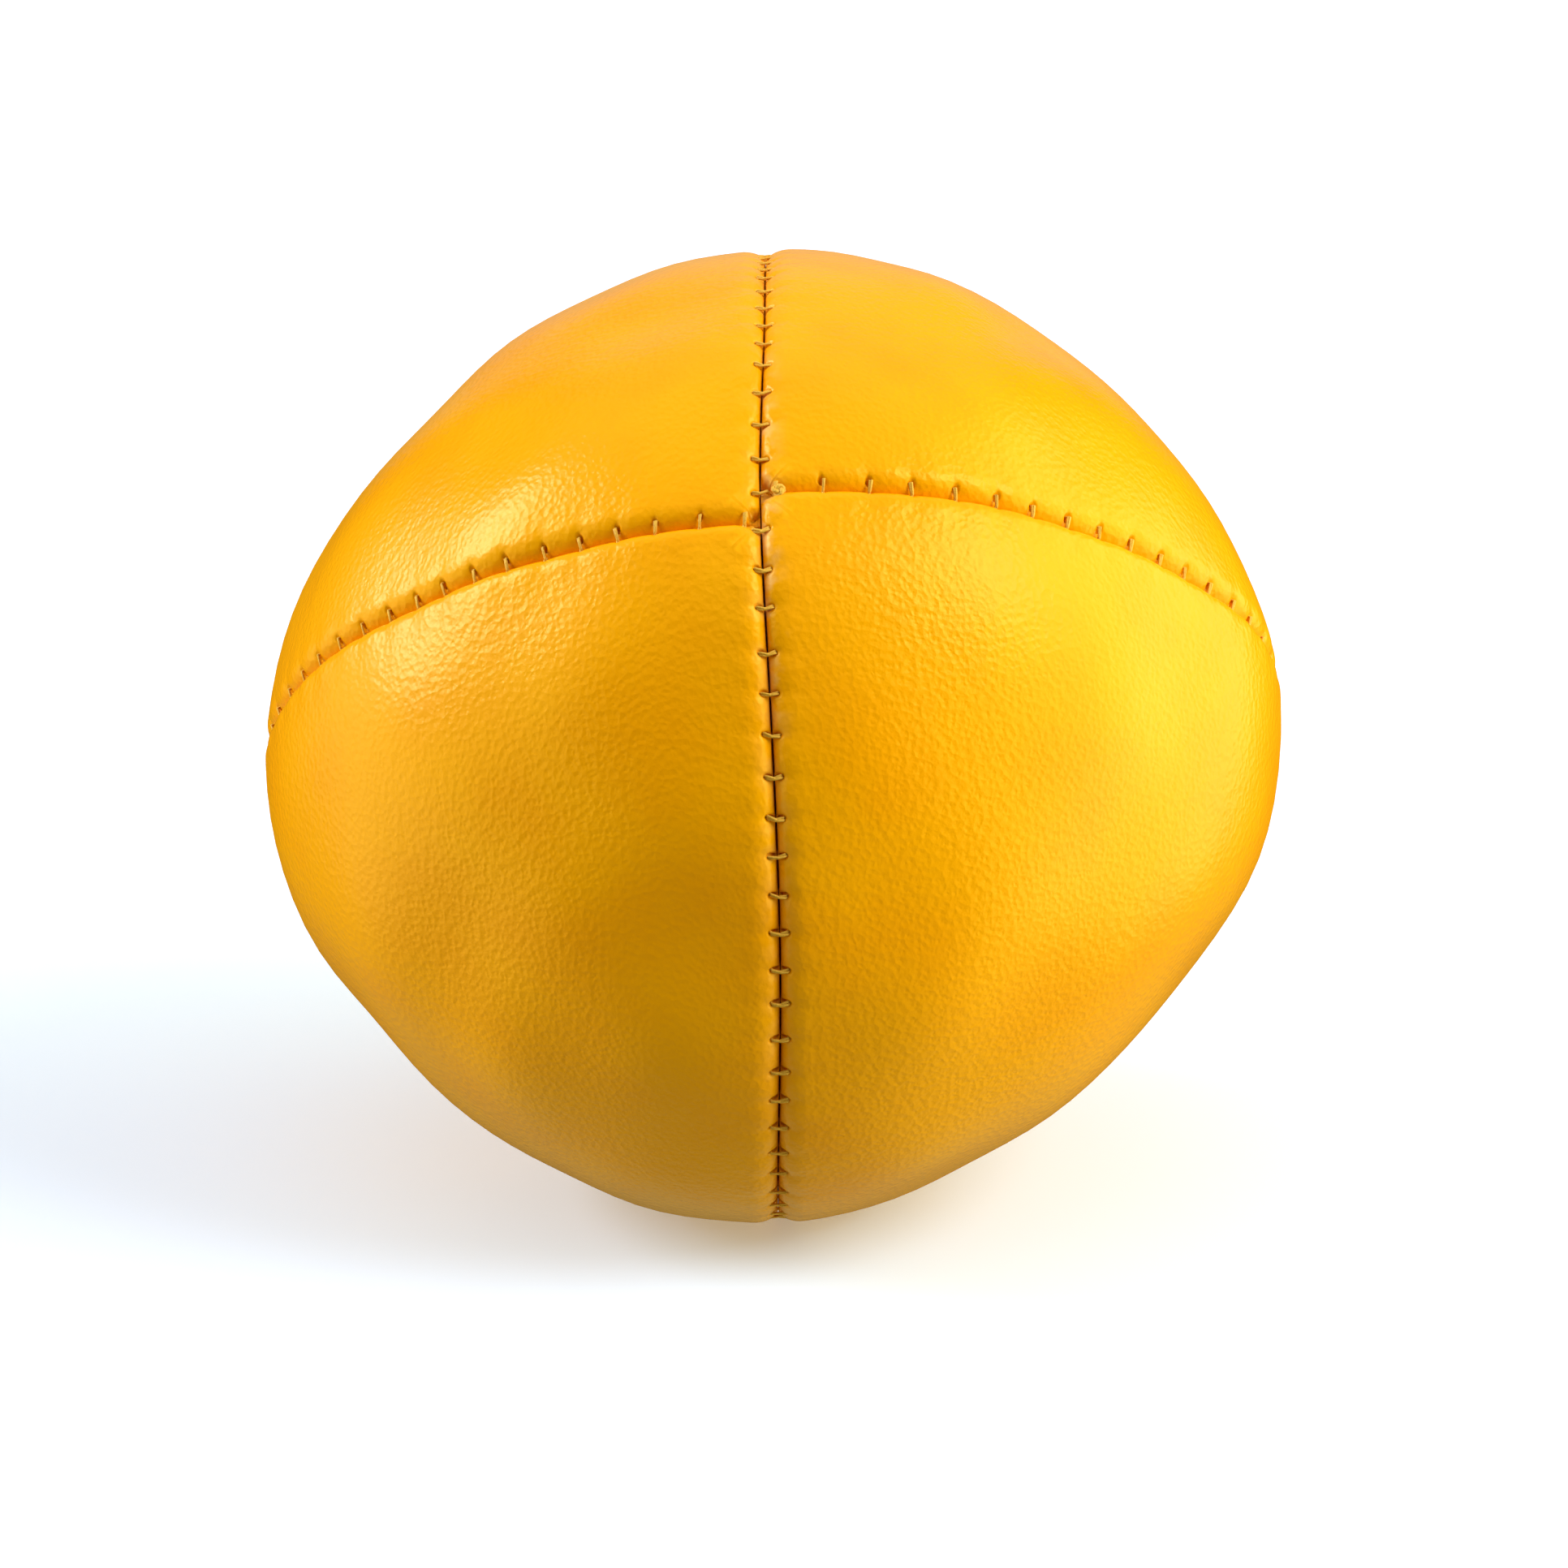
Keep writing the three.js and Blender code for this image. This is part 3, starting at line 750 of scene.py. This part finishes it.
    turned = add(tree, "GeometryNodeRotateInstances")
    link(placed.outputs["Instances"], turned.inputs["Instances"])
    link(scatter((-0.4, -0.4, -1.8), (0.4, 0.4, 1.8), 1), turned.inputs["Rotation"])
    sized = add(tree, "GeometryNodeScaleInstances")
    one = add(tree, "ShaderNodeVectorMath", operation="ADD")
    one.inputs[1].default_value = (1, 1, 1)
    link(scatter((-0.6, -2, -0.5), (0.6, 2, 0.5), 2), one.inputs[0])
    link(turned.outputs["Instances"], sized.inputs["Instances"])
    link(one.outputs["Vector"], sized.inputs["Scale"])
    path = add(tree, "GeometryNodeMeshToCurve")
    link(given.outputs["Geometry"], path.inputs["Mesh"])
    runTube = tubed(path.outputs["Curve"], given.outputs["Run Radius"], 8)
    both = add(tree, "GeometryNodeJoinGeometry")
    link(sized.outputs["Instances"], both.inputs[0])
    link(runTube, both.inputs[0])
    real = add(tree, "GeometryNodeRealizeInstances")
    link(both.outputs[0], real.inputs[0])
    smooth = add(tree, "GeometryNodeSetShadeSmooth")
    link(real.outputs[0], smooth.inputs[0])
    finish = add(tree, "GeometryNodeSetMaterial")
    link(smooth.outputs[0], finish.inputs["Geometry"])
    link(given.outputs["Material"], finish.inputs["Material"])
    link(finish.outputs["Geometry"], out.inputs["Geometry"])
    return tree


stitcher = makeStitcher()


def sewThread(name, node, run, stitches, outward, across, settings, material=goldenThread, rings=()):
    # run: an open path, stitches: where the loops go, rings: closed paths, all in the world in millimetres
    points, edges = [], []
    for path, isClosed in [(run, False)] + [(ring, True) for ring in rings]:
        first, count = len(points), len(path)
        points += [tuple(q * mm) for q in path]
        edges += [(first + k, first + k + 1) for k in range(count - 1)]
        if isClosed:
            edges.append((first + count - 1, first))
    loose = len(points)
    points += [tuple(q * mm) for q in stitches]
    mesh = bpy.data.meshes.new(name)
    mesh.from_pydata(points, edges, [])
    padding = np.zeros((loose, 3))
    for label, values in (("outward", outward), ("across", across)):
        full = np.concatenate([padding, values]).astype(np.float32)
        mesh.attributes.new(label, "FLOAT_VECTOR", "POINT").data.foreach_set("vector", full.ravel())
    flags = np.concatenate([np.zeros(loose, bool), np.ones(len(stitches), bool)])
    mesh.attributes.new("isStitch", "BOOLEAN", "POINT").data.foreach_set("value", flags)
    source = bpy.data.objects.new(name + "Source", mesh)
    bpy.context.scene.collection.objects.link(source)
    modifier = source.modifiers.new("stitches", "NODES")
    modifier.node_group = stitcher
    sockets = {q.name: q.identifier for q in stitcher.interface.items_tree if q.in_out == "INPUT"}
    for label, value in dict(settings, Material=material).items():
        modifier[sockets[label]] = value
    evaluated = source.evaluated_get(bpy.context.evaluated_depsgraph_get())
    plain = bpy.data.meshes.new_from_object(evaluated)
    plain.name = name
    piece = bpy.data.objects.new(name, plain)
    bpy.context.scene.collection.objects.link(piece)
    bpy.data.objects.remove(source)
    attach(piece, "root")
    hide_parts(node)
    return piece


def onSeam(d, depth, sideways):
    # points beside a seam and their outward direction, in the world
    p = d * (fullRadius(d) - depth)[..., None] + sideways
    q = settle(p, np.full(p.shape[:-1], depth))
    return q, unit(d @ resting.T)


def alongMain(angles):
    return np.stack([np.zeros_like(angles), np.sin(angles), np.cos(angles)], -1)


def alongCross(h, angles):
    return h["tip"] * np.cos(angles)[:, None] + h["out"] * np.sin(angles)[:, None]


def threadSettings(kind, seed, **more):
    sag = 0.05
    if kind == "upper":  # its loops come down to the lower panel
        sag = sewing["rungDepths"]["lower"] - sewing["rungDepths"]["upper"]
    values = {
        "Reach": sewing["holes"][kind] * mm,
        "Spread": thread["spread"][kind] * mm,
        "Tilt": thread["tilts"]["hand" if kind == "closing" else "machine"],
        "Sag": sag * mm,
        "Seed": seed,
    }
    values.update(more)
    return values


def knotAt(p, outward, across, size):
    # a small closed trefoil
    t = np.linspace(0, 2 * math.pi, 30, endpoint=False)[:, None]
    third = np.cross(outward, across)
    ring = (2 + np.cos(3 * t)) / 3 * size
    flat = across * np.cos(2 * t) * ring + third * np.sin(2 * t) * ring
    return p + flat + outward * np.sin(3 * t) * size * 0.4


def alongRun(line, first, last, sideways):
    # the thread's way inside the fold, beside the seam
    d = line(np.arange(first, last, thread["runStep"]))
    return onSeam(d, thread["runDepth"], sideways * thread["runSide"])[0]


def sewMain():
    ownSide = np.array([1.0, 0, 0])
    for name, node, side in (
        ("mainSeamNeedleThread", "main_seam_needle_thread", -1),
        ("mainSeamBobbinThread", "main_seam_bobbin_thread", 1),
    ):
        path = alongRun(alongMain, places["main"][0], places["main"][-1], side * ownSide)
        at, outward = onSeam(alongMain(places["main"]), sewing["rungDepths"]["main"], np.zeros(3))
        across = np.tile(resting @ (-side * ownSide), (len(at), 1))
        settings = threadSettings("main", 3, Drift=side * thread["drift"] * mm)
        sewThread(name, node, path, at, outward, across, settings)


def sewCross(label, h):
    def line(angles):
        return alongCross(h, angles)

    for vertical, kind, which in ((1, "upper", "Needle"), (-1, "lower", "Bobbin")):
        path = alongRun(line, thread["runEnd"], math.pi - thread["runEnd"], h["up"] * vertical)
        at, outward = onSeam(line(places[label]), sewing["rungDepths"][kind], np.zeros(3))
        across = np.tile(resting @ (-vertical * h["up"]), (len(at), 1))
        knots = []
        if label == "right" and vertical > 0:
            start, facing = onSeam(line(np.array([0.035])), 0.25, np.zeros(3))
            knots = [knotAt(start[0], facing[0], across[0], thread["knots"]["machine"])]
        name, node = f"{label}Seam{which}Thread", f"{label}_seam_{which.lower()}_thread"
        settings = threadSettings(kind, 5 + vertical)
        sewThread(name, node, path, at, outward, across, settings, rings=knots)


def sewOpening():
    # closed by hand with a doubled thread, with its knot at the upper end
    angles = places["closing"]
    path = alongRun(alongMain, angles[0], angles[-1], np.array([-1.0, 0, 0]))
    at, outward = onSeam(alongMain(angles), sewing["rungDepths"]["closing"], np.zeros(3))
    across = np.tile(resting @ np.array([1.0, 0, 0]), (len(at), 1))
    settings = threadSettings("closing", 9, Uneven=thread["handUneven"])
    settings["Past Middle"] = sewing["holes"]["closing"] * mm
    start, facing = onSeam(alongMain(angles[-1:] + 0.02), 0.1, np.array([-0.5, 0, 0]))
    knot = knotAt(start[0], facing[0], across[0], thread["knots"]["hand"])
    piece = sewThread("closingThread", "closing_thread", path, at, outward, across, settings, rings=[knot])


sewMain()
for label, half in halves.items():
    sewCross(label, half)
sewOpening()
print("sewing made")

bag = {
    "depth": 3.3,  # of its outer face, inside the cover's hems
    "wall": 0.4,
    "gap": 1.1,  # between its halves, where its thread runs
    "rows": 60,
    "columns": 240,
    "gather": 0.09,  # small folds at its seam
    "gathers": 70,
    "gatherReach": 1.5,
    "threadPoints": 960,
    "zigzags": 90,
    "zigzag": 0.011,
    "weave": 700,  # threads to a metre
    "colour": (0.78, 0.72, 0.60, 1),
}


def clothMaterial():
    m = bpy.data.materials.new("cottonWeave")
    tree = nodeTree(m)
    link = tree.links.new
    out = add(tree, "ShaderNodeOutputMaterial", (600, 0))
    cloth = add(tree, "ShaderNodeBsdfPrincipled", (300, 0), Roughness=0.95, Sheen_Weight=0.2)
    cloth.inputs["Base Color"].default_value = bag["colour"]
    where = add(tree, "ShaderNodeTexCoord", (-900, 0))
    weave = add(tree, "ShaderNodeMath", (-200, -200), operation="MAXIMUM")
    for k, way in enumerate(("X", "Z")):
        wave = add(tree, "ShaderNodeTexWave", (-500, -300 * k), bands_direction=way, Scale=bag["weave"])
        link(where.outputs["Object"], wave.inputs["Vector"])
        link(wave.outputs["Fac"], weave.inputs[k])
    bump = add(tree, "ShaderNodeBump", (50, -200), Distance=0.05 * mm)
    link(weave.outputs["Value"], bump.inputs["Height"])
    link(bump.outputs["Normal"], cloth.inputs["Normal"])
    link(cloth.outputs["BSDF"], out.inputs["Surface"])
    return m


filling = {
    "depth": 4.1,  # of its face, inside the bag
    "grain": 620.0,  # grains to a metre
    "rows": 120,
    "columns": 240,
    "husk": (0.70, 0.47, 0.17, 1),
    # painted shade where the grains meet
    "dark": (0.42, 0.24, 0.07, 1),
}


def milletMaterial():
    m = bpy.data.materials.new("milletGrain")
    tree = nodeTree(m)
    link = tree.links.new
    out = add(tree, "ShaderNodeOutputMaterial", (600, 0))
    seeds = add(tree, "ShaderNodeBsdfPrincipled", (300, 0), Roughness=0.5)
    where = add(tree, "ShaderNodeTexCoord", (-900, 0))
    cells = add(tree, "ShaderNodeTexVoronoi", (-600, 0))
    cells.inputs["Scale"].default_value = filling["grain"]
    # painted shade: each grain darkens from its middle towards its edge, where it meets the next
    tone = add(tree, "ShaderNodeMix", (-100, 200), data_type="RGBA")
    tone.inputs["A"].default_value = filling["husk"]
    tone.inputs["B"].default_value = filling["dark"]
    bump = add(tree, "ShaderNodeBump", (50, -200), invert=True, Distance=0.8 * mm)
    link(where.outputs["Object"], cells.inputs["Vector"])
    link(cells.outputs["Distance"], tone.inputs["Factor"])
    link(tone.outputs["Result"], seeds.inputs["Base Color"])
    link(cells.outputs["Distance"], bump.inputs["Height"])
    link(bump.outputs["Normal"], seeds.inputs["Normal"])
    link(seeds.outputs["BSDF"], out.inputs["Surface"])
    return m


def roundMesh(name, sheets, material, node):
    # sheets of rings, each (rows, columns, 3), one after the other from the first pole to the last
    rings = np.concatenate(sheets)
    rows, columns = rings.shape[:2]
    body = rings[1:-1].reshape(-1, 3)
    points = np.concatenate([rings[:1, 0], body, rings[-1:, 0]])
    j, i = np.meshgrid(np.arange(rows - 3), np.arange(columns), indexing="ij")
    a, b = 1 + j * columns + i, 1 + j * columns + (i + 1) % columns
    faces = np.stack([a, a + columns, b + columns, b], -1).reshape(-1, 4).tolist()
    last, top = len(points) - 1, 1 + (rows - 3) * columns
    faces += [(0, 1 + k, 1 + (k + 1) % columns) for k in range(columns)]
    faces += [(last, top + (k + 1) % columns, top + k) for k in range(columns)]
    mesh = bpy.data.meshes.new(name)
    mesh.from_pydata([tuple(q) for q in points * mm], [], faces)
    joinTips(mesh, [])
    mesh.materials.append(material)
    piece = bpy.data.objects.new(name, mesh)
    bpy.context.scene.collection.objects.link(piece)
    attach(piece, "root")
    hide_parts(node)
    return piece


def ringPoints(polar, columns, depth, ripple=0):
    turn = np.linspace(0, 2 * math.pi, columns, endpoint=False)
    a, b = np.meshgrid(polar, turn, indexing="ij")
    d = np.stack([np.sin(a) * np.cos(b), np.sin(a) * np.sin(b), np.cos(a)], -1)
    r = fullRadius(d) - depth + ripple * np.sin(bag["gathers"] * b)
    return settle(d * r[..., None], np.full(r.shape, depth))


def makeBag():
    cotton = clothMaterial()
    rim = math.acos(bag["gap"] / 2 / (ball["radius"] - bag["depth"]))
    polar = np.linspace(0, rim, bag["rows"])
    toRim = (rim - polar) * ball["radius"]
    gather = (bag["gather"] * np.exp(-((toRim / bag["gatherReach"]) ** 2)))[:, None]
    for name, node, way in (
        ("innerBagFront", "inner_bag_front", polar),
        ("innerBagBack", "inner_bag_back", math.pi - polar),
    ):
        outside = ringPoints(way, bag["columns"], bag["depth"], gather)
        within = ringPoints(way[::-1], bag["columns"], bag["depth"] + bag["wall"], gather[::-1])
        roundMesh(name, [outside, within], cotton, node)
    turn = np.linspace(0, 2 * math.pi, bag["threadPoints"], endpoint=False)
    d = unit(np.stack([np.cos(turn), np.sin(turn), bag["zigzag"] * np.sin(bag["zigzags"] * turn)], -1))
    path, _ = onSeam(d, bag["depth"] + bag["wall"] / 2, np.zeros(3))
    none = np.zeros((0, 3))
    piece = sewThread("innerBagThread", "inner_bag_thread", none, none, none, none, {}, cotton, rings=[path])


def makeFilling():
    grains = ringPoints(np.linspace(0, math.pi, filling["rows"]), filling["columns"], filling["depth"])
    piece = roundMesh("milletFilling", [grains], milletMaterial(), "millet_filling")


makeBag()
makeFilling()
print("inside made")

studio = {
    "distance": 600 * mm,
    "elevation": 20.0,  # degrees
    "lens": 206.0,
    "sensor": 36,
    "aimRight": 0.8 * mm,  # of the ball's centre
    "aimDown": 3.0 * mm,
}


def makeCamera():
    camera = bpy.data.objects.new("camera", bpy.data.cameras.new("camera"))
    bpy.context.scene.collection.objects.link(camera)
    e = math.radians(studio["elevation"])
    back = Vector((0, -math.cos(e), math.sin(e)))
    upScreen = Vector((0, math.sin(e), math.cos(e)))
    aim = Vector(centre * mm) + Vector((studio["aimRight"], 0, 0)) - upScreen * studio["aimDown"]
    camera.location = aim + back * studio["distance"]
    camera.rotation_euler = (-back).to_track_quat("-Z", "Y").to_euler()
    camera.data.lens = studio["lens"]
    camera.data.sensor_width = studio["sensor"]
    camera.data.clip_start = 0.01
    bpy.context.scene.camera = camera


lights = {
    # bright areas of the room: towards, angle to their full strength, angle to their edge, strength
    "white": (
        ((0.72, -0.26, 0.64), 12, 19, 7.4),
        ((-0.86, 0.20, 0.42), 11, 18, 11.0),
        ((0, 0, 1), 25, 50, 0.35),
        ((0, -0.6, 0.8), 15, 35, 0.4),
        ((0, 0.6, 0.8), 20, 45, 0.3),
        ((0, 0.98, 0.1), 12, 22, 0.35),
    ),
    "whiteColour": (0.97, 0.98, 1.06, 1),
    "warm": (
        ((0.99, 0.02, 0.18), 25, 50, 3.3),
        ((-0.99, 0.0, 0.12), 22, 45, 1.6),
        ((-0.6, -0.1, 0.8), 20, 45, 0.35),
        ((0.6, -0.1, 0.8), 20, 45, 0.2),
        ((0, -0.2, -1), 40, 80, 0.48),
    ),
    "warmColour": (0.98, 1.0, 0.55, 1),
    "trace": 0.005,  # a little from all round, once for each area
}


def lightSum(tree, where, areas, x):
    # how bright the areas are together in each direction
    total = None
    for k, (way, inner, edge, strength) in enumerate(areas):
        axis = add(tree, "ShaderNodeVectorMath", (x, -220 * k), operation="DOT_PRODUCT")
        axis.inputs[1].default_value = unit(way)
        tree.links.new(where, axis.inputs[0])
        lit = add(tree, "ShaderNodeMapRange", (x + 200, -220 * k), interpolation_type="SMOOTHSTEP")
        lit.inputs["From Min"].default_value = math.cos(math.radians(edge))
        lit.inputs["From Max"].default_value = math.cos(math.radians(inner))
        lit.inputs["To Max"].default_value = strength
        tree.links.new(axis.outputs["Value"], lit.inputs["Value"])
        both = add(tree, "ShaderNodeMath", (x + 400, -220 * k), operation="ADD")
        both.inputs[0].default_value = lights["trace"]
        if total:
            tree.links.new(total, both.inputs[0])
        tree.links.new(lit.outputs["Result"], both.inputs[1])
        total = both.outputs["Value"]
    return total


def makeWorld():
    world = bpy.data.worlds.new("paleRoom")
    bpy.context.scene.world = world
    tree = nodeTree(world)
    where = add(tree, "ShaderNodeTexCoord", (-1700, 0)).outputs["Generated"]
    together = add(tree, "ShaderNodeAddShader", (300, 0))
    for slot, tone in enumerate(("white", "warm")):
        total = lightSum(tree, where, lights[tone], -1500 + 800 * slot)
        glow = add(tree, "ShaderNodeBackground", (100, -200 * slot))
        glow.inputs["Color"].default_value = lights[tone + "Colour"]
        tree.links.new(total, glow.inputs["Strength"])
        tree.links.new(glow.outputs["Background"], together.inputs[slot])
    out = add(tree, "ShaderNodeOutputWorld", (500, 0))
    tree.links.new(together.outputs["Shader"], out.inputs["Surface"])


floor = {
    "half": 3.0,  # metres
    "paint": (0.68, 0.78, 0.99, 1),
    "glowColour": (1.0, 1.0, 1.0, 1),
    "glow": 0.19,
}


def makeFloor():
    half = floor["half"]
    corners = [(-half, -half, 0), (half, -half, 0), (half, half, 0), (-half, half, 0)]
    mesh = bpy.data.meshes.new("floor")
    mesh.from_pydata(corners, [], [(0, 1, 2, 3)])
    board = bpy.data.objects.new("floor", mesh)
    bpy.context.scene.collection.objects.link(board)
    m = bpy.data.materials.new("paleFloor")
    tree = nodeTree(m)
    out = add(tree, "ShaderNodeOutputMaterial", (300, 0))
    paint = add(tree, "ShaderNodeBsdfPrincipled", (0, 0), Roughness=0.8, Specular_IOR_Level=0.0)
    paint.inputs["Base Color"].default_value = floor["paint"]
    paint.inputs["Emission Color"].default_value = floor["glowColour"]
    paint.inputs["Emission Strength"].default_value = floor["glow"]
    # the floor doesn't throw its light back on the ball
    board.visible_diffuse = False
    board.visible_shadow = False
    board.visible_glossy = False
    tree.links.new(paint.outputs["BSDF"], out.inputs["Surface"])
    mesh.materials.append(m)


makeCamera()
makeWorld()
makeFloor()
bpy.context.scene.view_settings.view_transform = "Standard"
print("studio made")
